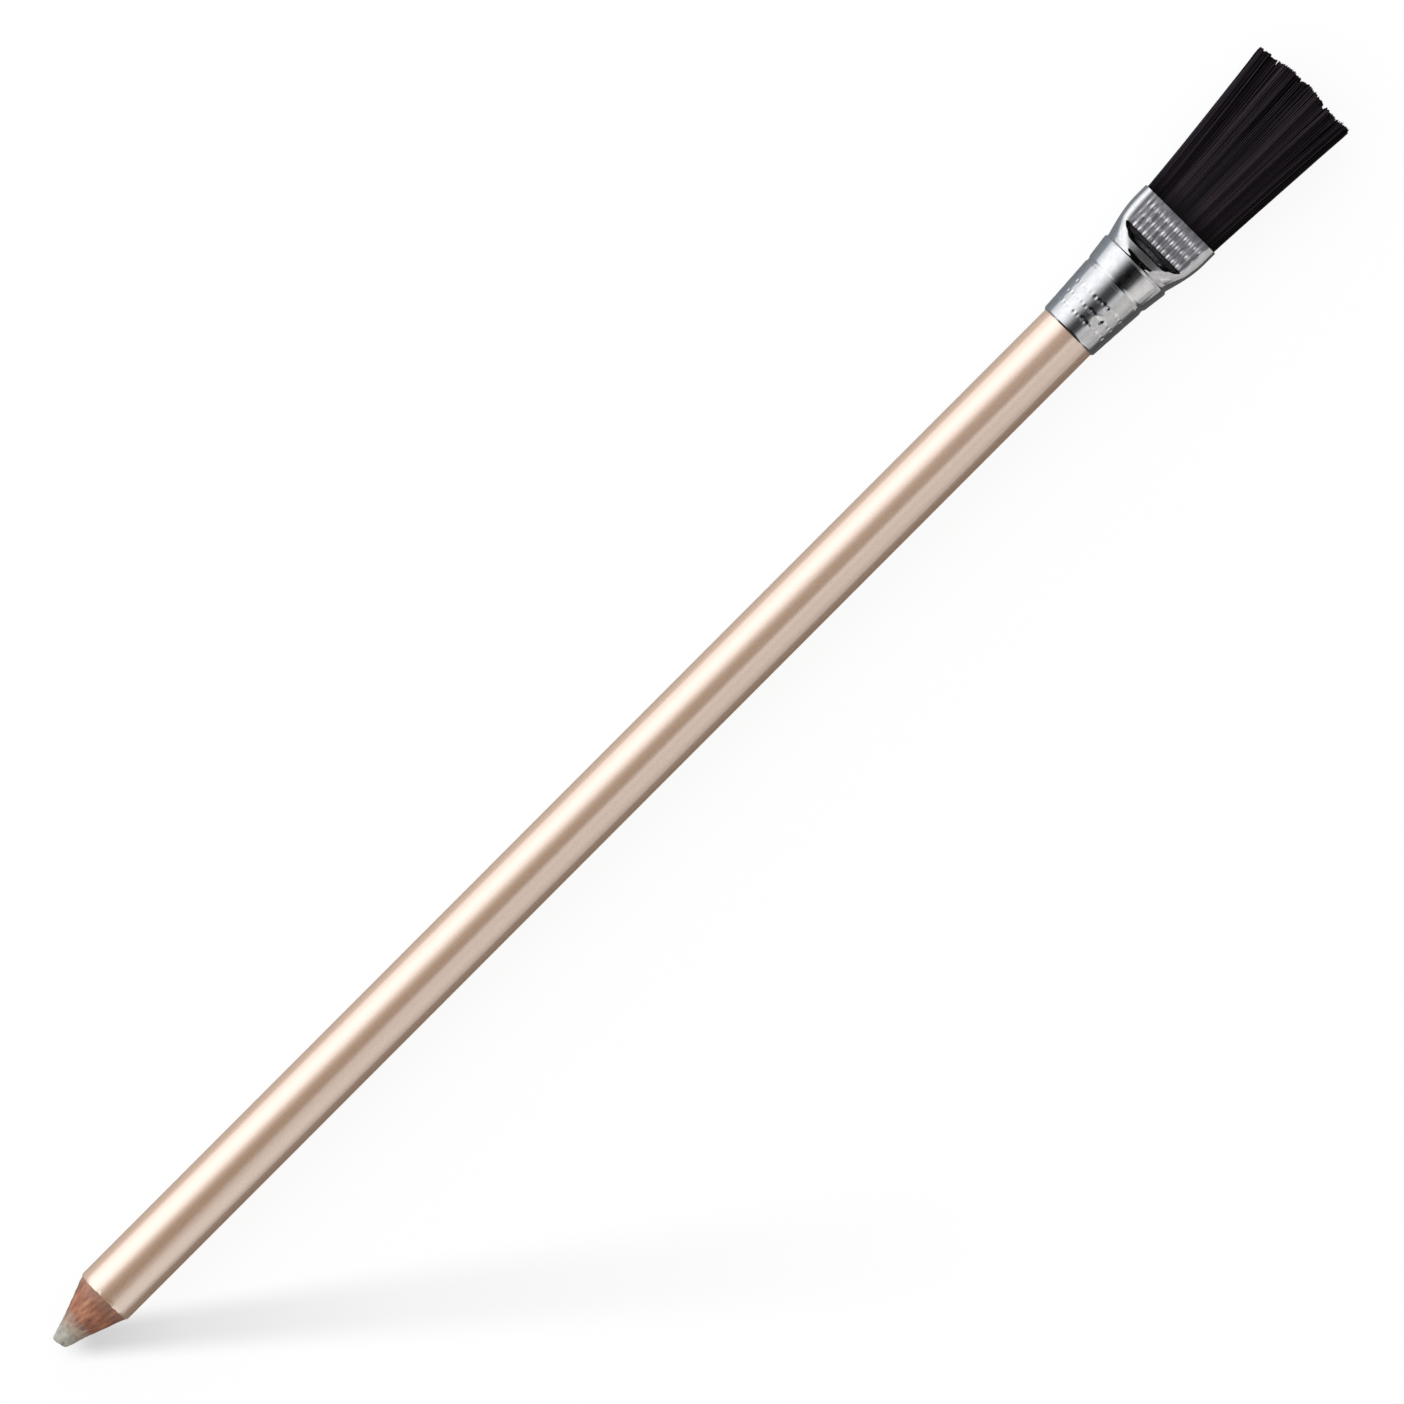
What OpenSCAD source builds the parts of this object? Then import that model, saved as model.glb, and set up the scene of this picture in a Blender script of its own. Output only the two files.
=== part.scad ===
// Eraser pencil with a flat brush.
// The pencil lies along X: the eraser's point is at -X, the brush at +X and its width runs along Y.
// The ground that it lies on is z = 0. Millimetres and degrees.

/* [Blank] */
// Length of the blank, from the worn point to the end inside the ferrule
blank_len = 175; // [120:1:190]
// Diameter over the lacquer
barrel_d = 7.5; // [7:0.1:8]
// Thickness of the lacquer
coat_t = 0.14; // [0.12:0.01:0.25]
// Diameter of the eraser core
core_d = 3.6; // [2.6:0.1:4.4]
// Radius that the blank loses along its end, so that it enters the ferrule
end_taper = 0.06; // [0.02:0.01:0.1]

/* [Point] */
// Full angle of the sharpened wood
sharpen_angle = 42; // [30:1:60]
// Bare eraser ahead of the wood
point_len = 2.9; // [1.5:0.1:5]
// Diameter of the worn tip
tip_d = 1.8; // [1.2:0.1:2.2]
// Radius worn on the rim of the tip
tip_round = 0.4; // [0.1:0.05:0.5]

/* [Ferrule, round part] */
// Thickness of the drawn sheet
sheet_t = 0.2; // [0.15:0.05:0.3]
// Length of barrel that the ferrule grips
grip_len = 7.5; // [6:0.5:12]
// Angle at which the ferrule opens over the barrel
grip_taper = 3.6; // [3:0.1:5]
// Distance from the end of the blank to the first rolled groove
stop_gap = 0.3; // [0:0.05:1]
// Distance between the two rolled grooves
neck_len = 3.6; // [2.5:0.1:6]
// Angle at which the neck opens between the grooves
neck_taper = 7.5; // [4:0.5:10]
// Rise of the neck behind the first groove
shoulder_h = 0.12; // [0.06:0.01:0.18]
// Width of a rolled groove
groove_w = 1; // [0.6:0.1:1.2]
// Depth of a rolled groove
groove_depth = 0.2; // [0.1:0.05:0.3]

/* [Ferrule, pressed part] */
// Length from the second groove to the mouth
press_len = 7.3; // [6:0.1:12]
// Length of the way down from the second groove to the flat
slope_len = 2.8; // [2:0.1:4]
// Length of the step that the press leaves at the groove
step_len = 0.3; // [0.2:0.05:0.5]
// Drop of the step
step_drop = 0.3; // [0.1:0.05:0.4]
// Length of the brow, the gentler stretch above the steep slope
brow_len = 1.2; // [0.6:0.1:1.5]
// Drop of the brow
brow_drop = 0.75; // [0.4:0.05:1]
// Length over which the sides swell to the mouth's width
swell_len = 5.6; // [3:0.1:6]
// Width of the flat at the head of the brow
brow_flat_w = 2.7; // [2:0.1:4]
// Width of the flat at the foot of the slope
foot_flat_w = 8.1; // [7:0.1:9]
// Width of the flat at the mouth
mouth_flat_w = 9.2; // [8.4:0.1:10]
// Width of the mouth, outside
mouth_w = 11.45; // [11:0.05:13]
// Thickness of the mouth, outside
mouth_t = 4.7; // [4:0.1:7]

/* [Glue] */
// Length of the adhesive ring between the blank and the ferrule
glue_len = 4; // [2:0.5:4.5]
// Length of the set resin behind the bristles
resin_len = 4.4; // [2:0.1:5]

/* [Brush] */
// Free length of the bristles beyond the mouth
bristle_len = 22; // [12:0.1:30]
// Depth of the bristles' backing below the mouth
recess = 0.9; // [0.5:0.1:1.5]
// Thickness of the slice of backing
backing_t = 1.2; // [0.8:0.1:1.6]
// Strands across the width
strand_cols = 32; // [26:1:34]
// Layers of strands through the thickness
strand_rows = 12; // [10:1:13]
// Width of a strand
strand_d = 0.26; // [0.16:0.01:0.27]
// Spread of the ends beyond the backing, on the +Y side
splay_left = 2.4; // [0.5:0.1:4]
// Spread of the ends beyond the backing, on the -Y side
splay_right = 1.4; // [0.5:0.1:4]
// Spread of the ends through the thickness, on each side
splay_thick = 0.5; // [0.2:0.1:1.5]
// Drop of the trimmed end from the middle to the corners
crown = 0.9; // [0:0.1:3]
// Most that a strand falls short of the trimmed end
ragged = 0.5; // [0:0.1:1.5]
// Locks that the ends gather into
locks = 7; // [3:1:9]

/* [Fits] */
// Gap between seated pieces, which glue fills on the real pencil
seat_gap = 0.04; // [0.02:0.01:0.08]

/* [Hidden] */
$fn = 96;

// Steps of the arc worn on the tip, of a side of a pressed section and of a groove
tip_steps = 6;
arc_steps = 20;
groove_steps = 8;

// Radii of the blank's layers
barrel_r = barrel_d / 2;
core_r = core_d / 2;
tip_r = tip_d / 2;
channel_r = core_r + seat_gap;
coat_in_r = barrel_r - coat_t;
slat_r = coat_in_r - seat_gap;

// Stations along the ferrule, from the tip
edge_x = blank_len - grip_len;
groove1_x = blank_len + stop_gap;
groove2_x = groove1_x + neck_len;
brow_x = groove2_x + step_len;
slope_x = brow_x + brow_len;
foot_x = groove2_x + slope_len;
mouth_x = groove2_x + press_len;
backing_x = mouth_x - recess;

// Outside radii of the ferrule's round part
edge_r = barrel_r + seat_gap + sheet_t;
collar_r = edge_r + (groove1_x - groove_w / 2 - edge_x) * tan(grip_taper);
neck_r = collar_r + shoulder_h;
neck_end_r = neck_r + (neck_len - groove_w) * tan(neck_taper);

// The pressed part starts inside the second groove's wall, this far from both of its faces
// and this far ahead of its middle
lap = 0.04;
lap_len = 0.06;
start_x = groove2_x - lap_len;
start_r = neck_end_r - groove_depth - lap;
// Half the width of the flat where the pressed part is still round
start_flat = 0.2;

overall_len = mouth_x + bristle_len;
// The pencil lies on the widest ring of its neck
axis_z = neck_end_r;

// Puts a piece drawn from the tip along X where it belongs
module placed() {
    translate([-overall_len / 2, 0, axis_z]) children();
}

// Turns an outline of [radius, x] points about the pencil's axis
module turned(outline) {
    rotate([0, 90, 0]) rotate_extrude() polygon(outline);
}

// Place along the axis at which the sharpened cone reaches a radius
function cone_x(r) = point_len + (r - core_r) / tan(sharpen_angle / 2);

// Outside radius of the lacquered blank inside the ferrule
function end_r(x) = barrel_r - end_taper * (x - edge_x) / grip_len;

// Outline of a sleeve of the blank: cut by the sharpened cone, then through its [radius, x] points
function sleeve(inner_r, outer_r, end_points) = concat(
    [[inner_r, cone_x(inner_r)], [outer_r, cone_x(outer_r)]],
    end_points,
    [[inner_r, blank_len]]
);

// Outline of the eraser: worn tip, bare cone and the rod behind it
function core_outline() =
    let(
        a = atan((core_r - tip_r) / point_len),
        wear_x = tip_round * (1 - sin(a)),
        wear_r = tip_r + wear_x * tan(a) - tip_round * cos(a)
    )
    concat(
        [[0, 0]],
        [for (i = [0:tip_steps]) let(t = -90 + (90 - a) * i / tip_steps)
            [wear_r + tip_round * cos(t), tip_round + tip_round * sin(t)]],
        [[core_r, point_len], [core_r, blank_len], [0, blank_len]]
    );

module eraser_core() {
    color("#b9b5aa") placed() turned(core_outline());
}

// One half of the wood, above or below the glue line
module slat(side) {
    placed() intersection() {
        turned(sleeve(channel_r, slat_r, [[slat_r, blank_len]]));
        translate([0, -barrel_r, side > 0 ? seat_gap / 2 : -seat_gap / 2 - barrel_r])
            cube([blank_len + 1, barrel_d, barrel_r]);
    }
}

module upper_slat() {
    color("#b5694a") slat(1);
}

module lower_slat() {
    color("#a9603f") slat(-1);
}

module lacquer_coat() {
    color("#dcc6b4") placed()
        turned(sleeve(coat_in_r, barrel_r, [[barrel_r, edge_x], [end_r(blank_len), blank_len]]));
}

// Depth that a rolled groove at x0 takes off the ferrule's radius at x
function groove_dip(x, x0) =
    abs(x - x0) < groove_w / 2 ? groove_depth * (1 + cos(360 * (x - x0) / groove_w)) / 2 : 0;

// Outside radius of the ferrule's round part
function round_r(x) =
    lookup(x, [
        [edge_x, edge_r],
        [groove1_x - groove_w / 2, collar_r], [groove1_x + groove_w / 2, neck_r],
        [groove2_x - groove_w / 2, neck_end_r]
    ]) - groove_dip(x, groove1_x) - groove_dip(x, groove2_x);

// Stations of the round part, closest together in the grooves. It ends in the middle of the second.
round_stations = concat(
    [edge_x],
    [for (i = [0:groove_steps]) groove1_x + groove_w * (i / groove_steps - 0.5)],
    [for (i = [0:groove_steps / 2]) groove2_x + groove_w * (i / groove_steps - 0.5)]
);

// Sections of the pressed part are two flats joined by arcs. b is half the width,
// h half the thickness and f half the width of the flat.
function section(x, b, h, f) = [
    for (side = [1, -1], i = [0:arc_steps])
        let(
            r = (pow(b - f, 2) + h * h) / (2 * (b - f)),
            t = atan2(h, f - b + r) * (2 * i / arc_steps - 1)
        )
        [x, side * (b - r + r * cos(t)), side * r * sin(t)]
];

// Section of the pressed part at x, taken inside the outer face by an inset
function pressed(x, inset) =
    let(
        swell = sin(90 * min(1, max(0, x - groove2_x) / swell_len)),
        drop = lookup(x, [
            [groove2_x, 0], [brow_x, step_drop],
            [slope_x, step_drop + brow_drop], [foot_x, start_r - mouth_t / 2]
        ]),
        f = lookup(x, [
            [groove2_x, start_flat], [brow_x, brow_flat_w / 2],
            [foot_x, foot_flat_w / 2], [mouth_x, mouth_flat_w / 2]
        ])
    )
    section(x, start_r + (mouth_w / 2 - start_r) * swell - inset, start_r - drop - inset, f);

// Triangles between consecutive rings of n points, from ring a to ring b
function band(n, a, b) = [
    for (j = [0:n - 1], half = [0, 1])
        let(k = (j + 1) % n)
        half == 0 ? [a * n + j, b * n + j, b * n + k] : [a * n + j, b * n + k, a * n + k]
];

// Stations of the pressed part: two for each stretch on the way down, and three along the flat
press_stations = [
    groove2_x, brow_x, (brow_x + slope_x) / 2, slope_x, (slope_x + foot_x) / 2, foot_x,
    foot_x + (mouth_x - foot_x) / 4, (foot_x + mouth_x) / 2, mouth_x
];

// The wall pressed from round to flat: outer rings out to the mouth and inner rings back.
// Its round root ends inside the groove's wall.
module pressed_wall() {
    last = len(press_stations) - 1;
    root_t = sheet_t - 2 * lap;
    rings = concat(
        [pressed(start_x, 0)],
        [for (x = press_stations) pressed(x, 0)],
        [for (i = [last:-1:1]) pressed(press_stations[i], sheet_t)],
        [pressed(groove2_x, root_t), pressed(start_x, root_t)]
    );
    n = len(rings[0]);
    polyhedron(
        [for (ring = rings) each ring],
        [for (i = [0:len(rings) - 1]) each band(n, i, (i + 1) % len(rings))]
    );
}

module ferrule() {
    color("#c9cacc") placed() union() {
        turned(concat(
            [for (x = round_stations) [round_r(x), x]],
            [for (i = [len(round_stations) - 1:-1:0])
                [round_r(round_stations[i]) - sheet_t, round_stations[i]]]
        ));
        pressed_wall();
    }
}

// Adhesive in the wedge between the blank's end and the opening ferrule
module glue_ring() {
    back_x = groove1_x - groove_w / 2;
    ends = [back_x - glue_len, back_x];
    color("#d8c48c") placed() turned([
        [end_r(ends[0]) + seat_gap, ends[0]], [round_r(ends[0]) - sheet_t - seat_gap, ends[0]],
        [round_r(ends[1]) - sheet_t - seat_gap, ends[1]], [end_r(ends[1]) + seat_gap, ends[1]]
    ]);
}

// Resin that holds the butts of the bristles, set in the pressed part
module resin_plug() {
    back_x = backing_x - backing_t - seat_gap;
    stations = concat(
        [for (x = press_stations) if (x > back_x - resin_len && x < back_x) x],
        [back_x]
    );
    rings = concat(
        [pressed(back_x - resin_len, sheet_t + seat_gap)],
        [for (x = stations) pressed(x, sheet_t + seat_gap)]
    );
    n = len(rings[0]);
    last = len(rings) - 1;
    color("#c8a050") placed() polyhedron(
        [for (ring = rings) each ring],
        concat(
            [for (i = [0:last - 1]) each band(n, i, i + 1)],
            [[for (j = [0:n - 1]) j]],
            [[for (j = [n - 1:-1:0]) last * n + j]]
        )
    );
}

// The bundle of bristles fills the mouth: half its width, its thickness and its flat
bundle_b = mouth_w / 2 - sheet_t - seat_gap;
bundle_h = mouth_t / 2 - sheet_t - seat_gap;
bundle_f = mouth_flat_w / 2 - sheet_t - seat_gap;
bundle_side_r = (pow(bundle_b - bundle_f, 2) + bundle_h * bundle_h) / (2 * (bundle_b - bundle_f));

// Half the width of the bundle at a height z
function bundle_half(z) = bundle_b - bundle_side_r + sqrt(pow(bundle_side_r, 2) - z * z);

// Place in the bundle of u across and w through it, both from -1 to 1
function in_bundle(u, w) = [u * bundle_half(w * bundle_h), w * bundle_h];

strands = strand_cols * strand_rows;
// Shares of a strand's length at which it has its sections
strand_levels = [0, 0.55, 1];
// Share by which the ends close up into a lock, and by which neighbours stand out of line
lock_pull = 0.2;
offset_y = 0.5;
offset_z = 0.3;
// Most that an end strays from its place
stray_y = 0.03;
stray_z = 0.05;
stray = [for (seed = [3, 5, 8]) rands(-1, 1, strands, seed)];

// Middle of a strand at a share s of its length. Ends spread straight, and bend into their locks.
function strand_point(i, j, s) =
    let(
        k = j * strand_cols + i,
        u = (i + 0.5) / strand_cols * 2 - 1,
        w = (j + 0.5) / strand_rows * 2 - 1,
        root = in_bundle(u, w),
        row_shift = offset_y * (j % 2 - 0.5) * 2 / strand_cols,
        col_shift = offset_z * (i % 2 - 0.5) * 2 * bundle_h / strand_rows,
        half = bundle_half(root[1]),
        spread = (splay_left + splay_right) / 2,
        wide = spread * u + (splay_left - splay_right) / 2 + row_shift * (half + spread),
        gather = -lock_pull / (locks * PI) * sin(180 * locks * u) * half,
        reach = recess + bristle_len - crown * u * u - ragged * abs(stray[0][k])
    )
    [
        backing_x + reach * s,
        root[0] + wide * s + (gather + stray_y * stray[1][k]) * s * s,
        root[1] + splay_thick * w * s + (col_shift + stray_z * stray[2][k]) * s * s
    ];

// Strands fused to the face of their backing. The face is a grid with one cell for each strand.
module bristles() {
    cols = strand_cols;
    rows = strand_rows;
    levels = len(strand_levels);
    grid = [for (j = [0:rows], i = [0:cols]) in_bundle(i / cols * 2 - 1, j / rows * 2 - 1)];
    rim = concat(
        [for (i = [0:cols - 1]) i],
        [for (j = [0:rows - 1]) j * (cols + 1) + cols],
        [for (i = [cols:-1:1]) rows * (cols + 1) + i],
        [for (j = [rows:-1:1]) j * (cols + 1)]
    );
    rims = len(rim);
    corners = [for (v = [0:2]) strand_d / 2 * [0, cos(210 + 120 * v), sin(210 + 120 * v)]];
    strand_0 = len(grid);
    back_0 = strand_0 + strands * levels * 3;

    points = concat(
        [for (g = grid) [backing_x, g[0], g[1]]],
        [for (j = [0:rows - 1], i = [0:cols - 1], s = strand_levels, c = corners)
            strand_point(i, j, s) + c],
        [for (g = rim) [backing_x - backing_t, grid[g][0], grid[g][1]]],
        [[backing_x - backing_t, 0, 0]]
    );

    // Corner v of a strand at one of its levels
    function at(i, j, level, v) = strand_0 + ((j * cols + i) * levels + level) * 3 + v % 3;

    // The cell of the face around a strand's root
    function cell(i, j) =
        let(
            q0 = j * (cols + 1) + i, q1 = q0 + 1, q3 = q0 + cols + 1, q2 = q3 + 1,
            v0 = at(i, j, 0, 0), v1 = at(i, j, 0, 1), v2 = at(i, j, 0, 2)
        )
        [
            [v1, q1, q0], [v0, v1, q0], [v2, q2, q1], [v1, v2, q1],
            [v2, q3, q2], [v0, q0, q3], [v2, v0, q3]
        ];

    // The sides and the cut end of a strand
    function shaft(i, j) = concat(
        [for (k = [0:levels - 2], v = [0:2], half = [0, 1])
            half == 0
                ? [at(i, j, k, v), at(i, j, k + 1, v), at(i, j, k + 1, v + 1)]
                : [at(i, j, k, v), at(i, j, k + 1, v + 1), at(i, j, k, v + 1)]],
        [[at(i, j, levels - 1, 2), at(i, j, levels - 1, 1), at(i, j, levels - 1, 0)]]
    );

    faces = concat(
        [for (j = [0:rows - 1], i = [0:cols - 1]) each concat(cell(i, j), shaft(i, j))],
        [for (k = [0:rims - 1], half = [0, 1])
            let(next = (k + 1) % rims)
            half == 0 ? [back_0 + k, rim[k], rim[next]] : [back_0 + k, rim[next], back_0 + next]],
        [for (k = [0:rims - 1]) [back_0 + rims, back_0 + k, back_0 + (k + 1) % rims]]
    );
    color("#241f22") placed() polyhedron(points, faces);
}

eraser_core();
upper_slat();
lower_slat();
lacquer_coat();
ferrule();
glue_ring();
resin_plug();
bristles();
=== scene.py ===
import math

import bpy
import numpy as np
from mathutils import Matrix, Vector, noise


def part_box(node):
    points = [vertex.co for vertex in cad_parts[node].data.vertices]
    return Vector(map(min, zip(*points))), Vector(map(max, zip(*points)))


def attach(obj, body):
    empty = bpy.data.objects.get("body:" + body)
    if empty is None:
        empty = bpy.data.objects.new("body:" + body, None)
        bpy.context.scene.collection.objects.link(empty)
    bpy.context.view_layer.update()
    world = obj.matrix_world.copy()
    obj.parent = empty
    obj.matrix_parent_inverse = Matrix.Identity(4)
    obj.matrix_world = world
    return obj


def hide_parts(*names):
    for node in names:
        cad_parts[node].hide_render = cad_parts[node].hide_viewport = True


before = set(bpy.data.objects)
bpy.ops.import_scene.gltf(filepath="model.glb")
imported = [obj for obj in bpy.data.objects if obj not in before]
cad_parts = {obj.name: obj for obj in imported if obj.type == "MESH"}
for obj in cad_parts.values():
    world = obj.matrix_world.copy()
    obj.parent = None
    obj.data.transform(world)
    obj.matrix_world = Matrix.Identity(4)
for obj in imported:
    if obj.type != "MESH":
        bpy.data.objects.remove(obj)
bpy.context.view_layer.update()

# Where the pencil's tip and its axis lie in the frame, in metres
CORE_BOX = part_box("eraser_core")
FERRULE_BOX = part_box("ferrule")
TIP_X = CORE_BOX[0].x
AXIS_Z = (FERRULE_BOX[0].z + FERRULE_BOX[1].z) / 2

# The pencil's lengths are in millimetres, and along it they count from the tip
MM = 0.001
BLANK_LEN = (CORE_BOX[1].x - TIP_X) / MM
BARREL_R = (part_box("lacquer_coat")[1].z - AXIS_Z) / MM
EDGE_X = (FERRULE_BOX[0].x - TIP_X) / MM
MOUTH_X = (FERRULE_BOX[1].x - TIP_X) / MM
CREST_R = (FERRULE_BOX[1].z - AXIS_Z) / MM
MOUTH_B = FERRULE_BOX[1].y / MM

# Blank and point
COAT_T = 0.14
CORE_R = 1.8
TIP_R = 0.9
TIP_ROUND = 0.4
POINT_LEN = 2.9
CONE_SLOPE = math.tan(math.radians(21))
END_TAPER = 0.06
SEAT_GAP = 0.04
# Relief that use leaves on the rubber: heights, and the sizes of the lumps
LUMP_H = 0.06
LUMP_SIZE = 0.55
CRUMB_H = 0.025
CRUMB_SIZE = 0.18
LUMP_FADE = 0.3
WEAR_LEN = 0.6
WEAR_DEPTH = 0.1
WEAR_SIZE = 0.5
WEAR_LEAN = 0.16
# Relief that the sharpener's blade leaves on the wood. Its waves are in radians a millimetre
BLADE_H = 0.02
WAVES_ALONG = 2
WAVES_ACROSS = 9
FIBRE_H = 0.03
FIBRE_SIZE = 0.9
CUT_DEPTH = 0.01
BREAK_LEN = 0.25
BREAK_SIZE = 0.8
# Half of the glue line between the two halves of the wood, in radians
GLUE_ANGLE = 0.006
# Chips along the lacquer's edge: small and broad ones
CHIP_LEN = 0.1
CHIP_SIZE = 0.5
NOTCH_LEN = 0.08
NOTCH_SIZE = 1.6

# Ferrule
SHEET_T = 0.2
BEVEL_LEN = 0.24
BEVEL_H = 0.16
RIM_ROUND = 0.06
GROOVE_1 = BLANK_LEN + 0.3
GROOVE_2 = GROOVE_1 + 3.6
GROOVE_HALF = 0.5
GROOVE_2_HALF = 0.26
GROOVE_1_DEPTH = 0.13
GROOVE_2_DEPTH = 0.2
SHOULDER_H = 0.12
GRIP_TAPER = math.tan(math.radians(3.6))
# The press leaves a step at the second groove, then a brow, the steep slope and the flat
BROW_X = GROOVE_2 + 0.4
SLOPE_X = GROOVE_2 + 1.5
FOOT_X = GROOVE_2 + 2.8
SWELL_LEN = 5.6
START_R = CREST_R - GROOVE_2_DEPTH
STEP_DROP = 0.46
BROW_DROP = 0.59
BROW_CROWN = 0.035
FLAT_CROWN = 0.014
START_F = 0.2
BROW_F = 1.95
FOOT_F = 4.05
MOUTH_F = 4.35
MOUTH_H = 2.35
# An ellipse's sides have a fullness of 2, and squarer ones have more
SIDE_FULLNESS = 2.6
# The pressed part's corners are softened over this length round it, and blurred at these steps along it
CORNER_SOFT = 0.3
BLUR = (-0.12, -0.06, 0, 0.06, 0.12)
# Its mesh: points round it and the steps along the grip and the pressed part
FERRULE_SIDES = 336
GRIP_STEP = 0.085
PRESS_STEP = 0.06

# Crimp: rows of small dents that hold the ferrule on the wood, and one deeper punch mark
CRIMP_ROWS = (169.65, 171.05, 172.6)
CRIMP_COUNT = 40
DENT_R = 0.27
DENT_DEPTH = 0.05
DENT_UNEVEN = 0.45
DENT_ASTRAY_ALONG = 0.06
DENT_ASTRAY_ROUND = 0.05
PUNCH_X = 170.8
PUNCH_Y = -1.7
PUNCH_R = 0.58
PUNCH_DEPTH = 0.22
# How steeply a dent's side falls
DENT_FALL = 1.5

# Knurl on the flats: ribs along the pencil, with rows of long beads
RIB_PITCH = 0.777
RIB_H = 0.03
KNURL_Y = 0.17
BEAD_ROWS = (FOOT_X + 0.3, FOOT_X + 1.75, FOOT_X + 3.2)
BEAD_R = 0.17
BEAD_H = 0.11
BEAD_STRETCH = 1.6
BEAD_UNEVEN = 0.2
# The roller ran this far to the -Y side
KNURL_ASTRAY = 0.25

# Brush
RECESS = 0.9
BACKING_T = 1.2
BRISTLE_LEN = 22
SPLAY_LEFT = 2.4
SPLAY_RIGHT = 1.4
SPLAY_THICK = 0.5
# Real filaments are about 0.1 mm thick. These are as fine as the picture can show
FILAMENT_PITCH = 0.182
FILAMENT_R = 0.085
FILAMENT_SIDES = 6
ROOT_ASTRAY = 0.015
TIP_ASTRAY = 0.035
WAVE_H = 0.03
WAVE_RADIANS = 7
# Locks that the filaments gather into: how far they are pulled in and how far they may end short
LOCK_COUNT = 90
LOCK_PULL = (0.1, 0.32)
LOCK_SHORT = 0.8
FILAMENT_SHORT = 0.25
# Trimmed end of the brush: how far it falls short of its peak, from the -Y corner to the +Y corner
TRIM_ACROSS = (-1, -0.8, -0.45, 0.05, 0.4, 0.8, 1)
TRIM_SHORT = (0.5, 0.75, 0.6, 0, 0.35, 0.8, 1.05)
# Where a filament's rings stand along it, and how full each is
FILAMENT_SHARES = (0, 0.1, 0.22, 0.36, 0.52, 0.68, 0.84, 0.97, 1.0)
FILAMENT_SWELL = (1, 1, 1, 1, 1, 1, 1, 0.95, 0.6)
# Name of the mesh value that says how light a filament is
TONE = "filament_tone"

# How far apart the noise of two seeds starts
SEED_SHIFT = (17.3, 5.9, 11.1)


def placed(points):
    """Points of the pencil, in millimetres from its tip and its axis, in the frame's metres."""
    return np.asarray(points, float) * MM + np.array([TIP_X, 0, AXIS_Z])


def skin(rings, closed):
    """Faces over rings of points. The last ring joins the first if closed. Otherwise both ends are capped."""
    count, around = rings.shape[:2]
    index = np.arange(count * around).reshape(count, around)
    rows = index if closed else index[:-1]
    following = np.roll(index, -1, axis=0)[: len(rows)]
    quads = np.stack([rows, np.roll(rows, -1, axis=1), np.roll(following, -1, axis=1), following], axis=-1)
    faces = quads.reshape(-1, 4).tolist()
    if not closed:
        faces += [index[0][::-1].tolist(), index[-1].tolist()]
    return faces


def piece(name, points, faces, material, node, crease=35):
    """A smooth piece in the place of a CAD node. Edges sharper than the crease, in degrees, stay sharp."""
    mesh = bpy.data.meshes.new(name)
    mesh.from_pydata(placed(points).tolist(), [], faces)
    mesh.validate()
    mesh.shade_smooth()
    mesh.set_sharp_from_angle(angle=math.radians(crease))
    made = bpy.data.objects.new(name, mesh)
    bpy.context.scene.collection.objects.link(made)
    made.data.materials.append(material)
    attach(made, "root")
    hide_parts(node)
    return made


def grain(points, size, seed):
    """Smooth noise from -1 to 1 at points, with lumps of about the given size."""
    shift = Vector([seed * apart for apart in SEED_SHIFT])
    values = [noise.noise(Vector(p) / size + shift) for p in points.reshape(-1, 3)]
    return np.array(values).reshape(points.shape[:-1])


def turn(outline, angles):
    """Rings of an outline of (x, radius) points turned to each of the angles, from +Y over the top."""
    x, r = np.asarray(outline, float).T
    return np.stack(
        [
            np.broadcast_to(x, (len(angles), len(x))),
            np.outer(np.cos(angles), r),
            np.outer(np.sin(angles), r),
        ],
        axis=-1,
    )


def push(rings, depth):
    """Rings with each point moved away from the axis by its depth."""
    # A least radius, so that nothing on the axis is divided by 0
    least = 0.01
    radius = np.linalg.norm(rings[..., 1:], axis=-1)
    moved = rings.copy()
    moved[..., 1:] *= (1 + depth / np.maximum(radius, least))[..., None]
    return moved


def cone_x(r):
    """Where the sharpened cone has a radius."""
    return POINT_LEN + (r - CORE_R) / CONE_SLOPE


def full_turn(steps):
    """Angles spaced evenly round a circle."""
    return np.arange(steps) * 2 * math.pi / steps


# Colours and materials


def linear(hex_colour, alpha=1.0):
    """An sRGB hex colour as linear RGBA."""
    parts = [int(hex_colour[i:i + 2], 16) / 255 for i in (1, 3, 5)]
    return tuple(c / 12.92 if c <= 0.04045 else ((c + 0.055) / 1.055) ** 2.4 for c in parts) + (alpha,)


def add(tree, kind, inputs=None, stops=None, **settings):
    """Adds a node with its settings. An input is a value or another node's output, and stops are a ramp's."""
    node = tree.nodes.new("ShaderNode" + kind)
    for name, value in settings.items():
        setattr(node, name, value)
    for name, value in (inputs or {}).items():
        if isinstance(value, bpy.types.NodeSocket):
            tree.links.new(value, node.inputs[name])
        else:
            node.inputs[name].default_value = value
    if stops:
        while len(node.color_ramp.elements) < len(stops):
            node.color_ramp.elements.new(1)
        for element, (place, colour) in zip(node.color_ramp.elements, stops):
            element.position = place
            element.color = colour if isinstance(colour, tuple) else linear(colour)
    return node.outputs[0] if len(node.outputs) else None


def new_tree(name):
    """A new material and its emptied tree."""
    material = bpy.data.materials.new(name)
    material.use_nodes = True
    material.node_tree.nodes.clear()
    return material, material.node_tree


def own_place(tree):
    """Where a point lies on its piece: X, Y and Z in metres."""
    own = add(tree, "TexCoord").node.outputs["Object"]
    return add(tree, "SeparateXYZ", {"Vector": own}).node.outputs


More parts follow.
